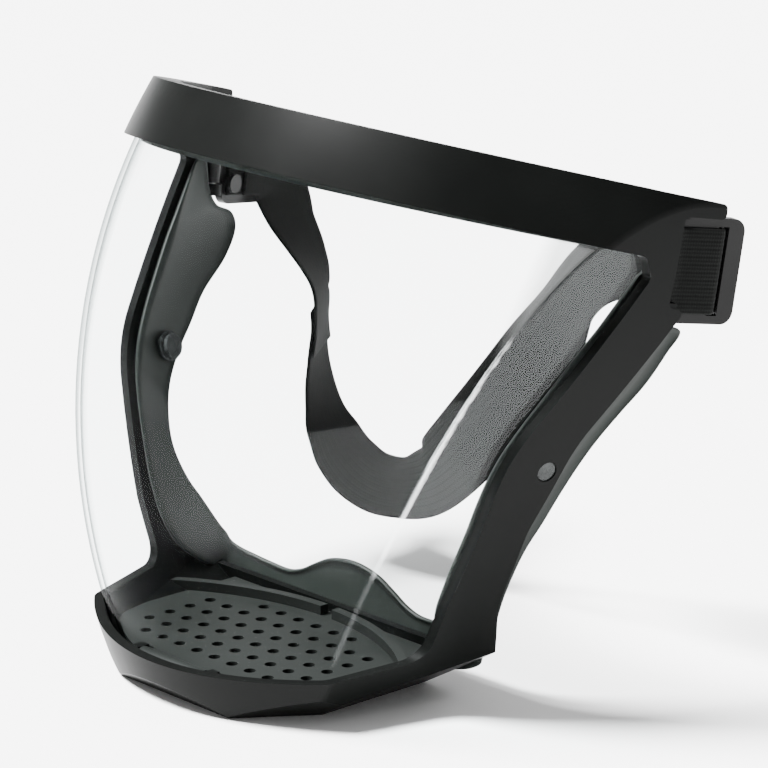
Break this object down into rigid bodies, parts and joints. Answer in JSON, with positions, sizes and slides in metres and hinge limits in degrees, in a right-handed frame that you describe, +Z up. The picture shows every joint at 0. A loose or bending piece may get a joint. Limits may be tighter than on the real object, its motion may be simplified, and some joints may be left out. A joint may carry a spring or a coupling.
{
  "type": "face shield",
  "caption": "Clear wraparound full-face shield: black brow band, side arms and chin guard, grey face seal, hinged breathing grille, swivelling temple buckles and elastic head strap.",
  "frame": {"origin": "on the flat underside of the chin guard, in the plane of symmetry", "axes": "+Z up as it stands on its chin guard, -Y the way the wearer faces, +X the wearer's left"},
  "size_m": [0.2196, 0.1397, 0.1754],
  "materials": {
    "frame_black": "satin",
    "lens_clear": "clear, glossy",
    "liner_grey": "matte",
    "seal_grey": "soft matte",
    "grille_black": "satin",
    "filter_black": "soft non-woven",
    "stud_clear": "glossy",
    "buckle_black": "satin",
    "pin_steel": "drawn",
    "web_black": "woven"
  },
  "bodies": {
    "shield": {"frame": "frame_black", "lens": "lens_clear", "brow_liner": "liner_grey", "face_seal": "seal_grey", "grille_pin": "pin_steel", "filter_pad": "filter_black", "filter_cover": "grille_black", "head_strap": "web_black", "lens_stud_left": "stud_clear", "lens_washer_left": "stud_clear", "buckle_pin_left": "pin_steel", "lens_stud_right": "stud_clear", "lens_washer_right": "stud_clear", "buckle_pin_right": "pin_steel"},
    "grille": {"chin_grille": "grille_black"},
    "buckle_left": {"strap_buckle_left": "buckle_black", "strap_loop_left": "web_black", "strap_rivet_left": "buckle_black"},
    "buckle_right": {"strap_buckle_right": "buckle_black", "strap_loop_right": "web_black", "strap_rivet_right": "buckle_black"}
  },
  "joints": [
    {"name": "grille_lift", "type": "hinge", "parent": "shield", "child": "grille", "pos_m": [0, -0.0386, 0.0098], "axis": [1, 0, 0], "range_deg": [0, 40]},
    {"name": "buckle_left_swivel", "type": "hinge", "parent": "shield", "child": "buckle_left", "pos_m": [0.09843, 0.06207, 0.13478], "axis": [0.0345, 0.1526, 0.9877], "range_deg": [-2.5, 20]},
    {"name": "buckle_right_swivel", "type": "hinge", "parent": "shield", "child": "buckle_right", "pos_m": [-0.09843, 0.06207, 0.13478], "axis": [0.0345, -0.1526, -0.9877], "range_deg": [-2.5, 20]}
  ]
}
